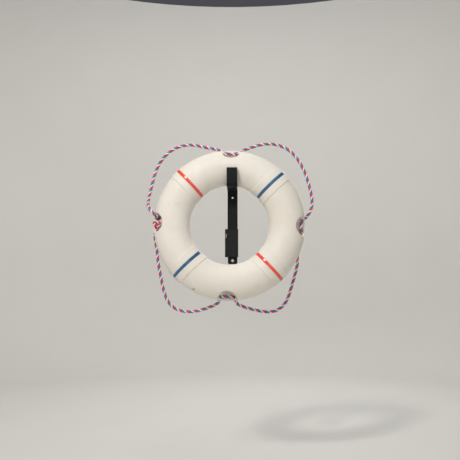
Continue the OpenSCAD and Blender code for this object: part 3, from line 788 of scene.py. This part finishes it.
def softened(node, name, body, slot, finish, radius):
    """A copy of a CAD node with equal points merged, flat faces made whole and edges rounded."""
    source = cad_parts[node].data
    points = np.empty(len(source.vertices) * 3)
    source.vertices.foreach_get("co", points)
    corners = np.empty(len(source.loops), np.int32)
    source.loops.foreach_get("vertex_index", corners)
    mesh = bpy.data.meshes.new(name)
    mesh.from_pydata(points.reshape(-1, 3).tolist(), [], corners.reshape(-1, 3).tolist())
    shape = bmesh.new()
    shape.from_mesh(mesh)
    bmesh.ops.remove_doubles(shape, verts=shape.verts, dist=0.002 * MM)
    bmesh.ops.dissolve_limit(shape, angle_limit=FLAT_WITHIN, verts=shape.verts, edges=shape.edges)
    shape.to_mesh(mesh)
    shape.free()
    mesh.shade_smooth()
    mesh.materials.append(finish)
    piece = add_piece(name, mesh, body, slot, node)
    bevel = piece.modifiers.new("rounded_edges", "BEVEL")
    bevel.width = radius
    bevel.segments = 3
    bevel.limit_method = "ANGLE"
    bevel.angle_limit = SHARP_OVER
    bevel.harden_normals = True
    return piece


softened("hook_bar", "coated_hook_bar", "hook", "black_steel", COATED_STEEL, 0.7 * MM)
softened("base_bar", "coated_base_bar", "wall_part", "black_steel", COATED_STEEL, 0.6 * MM)
softened("clamp_sleeve", "moulded_clamp_sleeve", "wall_part", "black_plastic", BLACK_PLASTIC, 0.4 * MM)
softened("shelf_pad", "rubber_shelf_pad", "hook", "black_rubber", BLACK_RUBBER, 0.5 * MM)
softened("lip_pad", "rubber_lip_pad", "hook", "black_rubber", BLACK_RUBBER, 0.4 * MM)

# The foam core keeps its own mesh and only takes its finish.
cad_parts["foam_core"].data.materials.clear()
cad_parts["foam_core"].data.materials.append(FOAM)

# ---------------------------------------------------------------- plugs, rivets, eyelets, pins, wheel


def arc(r, h, radius, start, end, count=7):
    """Points of an arc of a profile about (r, h), from one angle in degrees to another."""
    a = np.radians(np.linspace(start, end, count))
    return np.stack([r + radius * np.cos(a), h + radius * np.sin(a)], -1)


def turned(profile, place, ahead, sides=72):
    """A profile of radius and height pairs, in millimetres, revolved about a line ahead from a place."""
    r, h = (MM * np.asarray(profile, float)).T[..., None, None]
    ahead = np.array(ahead, float)
    side = unit(np.cross(ahead, [0.3, 0.5, 0.8]))
    a = np.linspace(0, 2 * np.pi, sides, endpoint=False)[:, None]
    return np.array(place) + h * ahead + r * (np.cos(a) * side + np.sin(a) * np.cross(ahead, side))


def moulded_plug(name, node, angle, flange_r):
    """A plug's cap laid on the back of the tube: rings of a disc carried onto the oval.

    Its height over the tube follows a profile with a rounded rim, a raised lip and a dished middle
    that a groove for a key crosses.
    """
    r = flange_r * np.array([1, 1, 0.995, 0.975, 0.94, 0.9, 0.86, 0.84, 0.82, 0.76, 0.68, 0.6, 0.4, 0])
    rise = MM * np.array([0.03, 0.6, 1.0, 1.25, 1.4, 1.4, 1.3, 1.1, 0.95, 0.9, 0.85, 0.85, 0.85, 0.85])
    r = np.concatenate([[0], flange_r * np.array([0.5]), r])[:, None]
    rise = np.concatenate([[0.03 * MM] * 2, rise])[:, None]
    a = np.linspace(0, 2 * np.pi, 72, endpoint=False)
    over, along = r * np.cos(a), r * np.sin(a)
    groove = smooth_step((2.2 * MM - np.abs(over)) / (1.0 * MM))
    groove = groove * smooth_step((0.72 * flange_r - r) / (1.2 * MM))
    rise = rise - np.where(rise > 0.1 * MM, 0.6 * MM, 0) * groove
    cap = hang(rim_point(math.radians(angle), along, 1.5 * np.pi + over / CROWN_R, rise))
    surface = Surface()
    surface.add(cap, close_columns=True)
    add_piece(name, surface.mesh(name, [SHELL]), "ring", "shell", node)


moulded_plug("moulded_filler_plug", "filler_plug", 112.5, 13 * MM)
moulded_plug("moulded_vent_plug", "vent_plug", 292.5, 8 * MM)


def domed_rivets():
    """Three rivets, each a domed head with a rounded rim on a shaft whose far end is spread a little."""
    low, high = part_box("pad_rivets")
    head_h, lip_drop, lip_shaft, shelf_shaft = 1.2 * MM, 4 * MM, 6.6, 6.4
    head = np.concatenate([
        [[0, 1.2], [1.2, 1.14], [2.4, 0.95]], arc(3.55, 0.4, 0.42, 60, 0, 5),
        [[4, 0.05], [3.9, 0], [2, 0]],
    ])
    surface = Surface()
    shafts = [((0, low.y + head_h, high.z - lip_drop), (0, -1, 0), lip_shaft)]
    shafts += [((0, y * MM, low.z + head_h), (0, 0, -1), shelf_shaft) for y in (-45, -95)]
    for place, ahead, shaft in shafts:
        profile = np.concatenate([head, [[2, 0.4 - shaft], [1.8, -shaft], [0, -shaft]]])
        surface.add(turned(profile, place, ahead), close_columns=True)
    mesh = surface.mesh("domed_pad_rivets", [COATED_STEEL])
    add_piece("domed_pad_rivets", mesh, "hook", "black_steel", "pad_rivets")


def rolled_eyelets():
    """Two eyelets: a barrel through the bar whose front is rolled outwards into a rounded flange."""
    low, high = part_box("wall_eyelets")
    flange_r = 6 * MM
    section = np.concatenate([
        [[3.25, 0], [3.25, 3.2]], arc(4.45, 3.6, 1.2, 180, 90, 8)[1:], arc(5.55, 4.35, 0.45, 90, -50, 8),
        [[5.2, 4.02], [4.25, 4.0], [4.2, 0]],
    ])
    surface = Surface()
    # The lower eyelet is dull bare steel; the upper one takes the black coat as painted shade for the
    # shadow under the shelf.
    for k, z in enumerate((low.z + flange_r, high.z - flange_r)):
        eyelet = turned(section, (0, 0, z), (0, -1, 0))
        surface.add(eyelet, close_rows=True, close_columns=True, finish=k)
    mesh = surface.mesh("rolled_wall_eyelets", [DULL_STEEL, COATED_STEEL])
    add_piece("rolled_wall_eyelets", mesh, "wall_part", "bright_steel", "wall_eyelets")


def sleeve_roll_pins():
    """Two short pins with chamfered ends."""
    low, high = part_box("sleeve_pins")
    pin_r = 1.25 * MM
    length = (high.x - low.x) / MM
    profile = [[0, 0], [0.95, 0], [1.23, 0.35], [1.23, length - 0.35], [0.95, length], [0, length]]
    surface = Surface()
    for z in (low.z + pin_r, high.z - pin_r):
        surface.add(turned(profile, (low.x, (low.y + high.y) / 2, z), (1, 0, 0), 32), close_columns=True)
    mesh = surface.mesh("chamfered_sleeve_pins", [DULL_STEEL])
    add_piece("chamfered_sleeve_pins", mesh, "wall_part", "bright_steel", "sleeve_pins")


def knurled_wheel():
    """The clamp's wheel: a revolved profile whose outer radius dips between its rounded teeth."""
    teeth, tooth_depth = 34, 0.55 * MM
    low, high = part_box("thumb_wheel")
    outer, wide = (high.z - low.z) / 2, high.x - low.x
    h = np.array([0, 0, 0, 0.25, 0.6, 0.85, 2.0, 3.15, 3.4, 3.75, 4, 4, 4]) / 4 * wide
    r = np.array([0.3, 0.62, 0.86, 0.93, 0.985, 1, 1, 1, 0.985, 0.93, 0.86, 0.62, 0.3]) * outer
    bite = np.array([0, 0, 0, 0.2, 0.8, 1, 1, 1, 0.8, 0.2, 0, 0, 0])[:, None]
    a = np.linspace(0, 2 * np.pi, 12 * teeth, endpoint=False)
    r = r[:, None] - tooth_depth * bite * (1 - np.abs(np.cos(teeth / 2 * a))) ** 1.5
    x = np.broadcast_to(low.x + h[:, None], r.shape)
    y, z = (low.y + high.y) / 2, (low.z + high.z) / 2
    surface = Surface()
    grid = np.stack([x, y + r * np.cos(a), z + r * np.sin(a)], -1)
    surface.add(grid, close_rows=True, close_columns=True)
    mesh = surface.mesh("knurled_thumb_wheel", [PLATED_STEEL])
    add_piece("knurled_thumb_wheel", mesh, "clamp_wheel", "bright_steel", "thumb_wheel")


def clamp_axle():
    """The wheel's axle: a round bar with one chamfered end and a longer taper at its clamping tip."""
    low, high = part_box("wheel_axle")
    length = (high.x - low.x) / MM
    profile = [[0, 0], [1.5, 0], [1.97, 0.4], [1.97, length - 0.9], [1.3, length], [0, length]]
    place = (low.x, (low.y + high.y) / 2, (low.z + high.z) / 2)
    surface = Surface()
    surface.add(turned(profile, place, (1, 0, 0), 48), close_columns=True)
    mesh = surface.mesh("chamfered_wheel_axle", [DULL_STEEL])
    add_piece("chamfered_wheel_axle", mesh, "clamp_wheel", "bright_steel", "wheel_axle")


domed_rivets()
rolled_eyelets()
sleeve_roll_pins()
knurled_wheel()
clamp_axle()

# ---------------------------------------------------------------- floor and light


def pale_stage():
    """A floor that curves up into a wall all round: flat, quarter arc and upright, revolved."""
    floor_z, flat_r, cove_r, wall_h = -0.85, 2.6, 0.9, 3.4
    a = np.linspace(-np.pi / 2, 0, 16)
    r = np.concatenate([[0.0, 0.8, 1.6], flat_r + cove_r * np.cos(a), [flat_r + cove_r]])
    z = np.concatenate([[0.0, 0.0, 0.0], cove_r + cove_r * np.sin(a), [wall_h]]) + floor_z
    turn = np.linspace(0, 2 * np.pi, 96, endpoint=False)[:, None]
    grid = np.stack([r * np.cos(turn), r * np.sin(turn), z + 0 * turn], -1)
    f = Finish("pale_stage", Specular_IOR_Level=0.2)
    tone = f.blend(f.noise(3.0), rgb(225, 223, 218), rgb(229, 227, 223))
    roughness = f.between(f.noise(40.0), 0.3, 0.7, 0.85, 0.95)
    finish = f.done(tone, roughness, f.bump(f.noise(300.0), 0.05 * MM))
    surface = Surface()
    surface.add(grid, close_rows=True)
    stage = bpy.data.objects.new("stage", surface.mesh("stage", [finish]))
    bpy.context.scene.collection.objects.link(stage)


def soft_light(name, place, aim, size, power, colour=(1.0, 1.0, 1.0)):
    """A square area light at a place, turned to its aim."""
    data = bpy.data.lights.new(name, "AREA")
    data.size = size
    data.energy = power
    data.color = colour
    light = bpy.data.objects.new(name, data)
    light.location = place
    light.visible_camera = False
    light.rotation_euler = (Vector(aim) - Vector(place)).to_track_quat("-Z", "Y").to_euler()
    bpy.context.scene.collection.objects.link(light)


# The key light comes from the upper left, and the others only soften its shadows.
pale_stage()
soft_light("key", (-1.05, -2.15, 1.75), (0, 0, 0), 0.25, 43, (1.0, 0.98, 0.95))
soft_light("top_fill", (0.3, -1.2, 2.4), (0, 0, 0), 2.2, 18)
soft_light("front_fill", (0.4, -2.6, 0.5), (0, 0, 0), 1.6, 5)
soft_light("back_fill", (0.6, 2.2, 1.4), (0, 0, 0), 1.6, 14)
soft_light("wall_wash", (0.0, 0.9, 2.2), (0, 3.4, -0.2), 1.5, 28)

world = bpy.data.worlds.new("studio_air")
world.use_nodes = True
world.node_tree.nodes["Background"].inputs["Color"].default_value = (0.86, 0.9, 1.0, 1.0)
world.node_tree.nodes["Background"].inputs["Strength"].default_value = 0.08
bpy.context.scene.world = world
bpy.context.scene.view_settings.view_transform = "Standard"
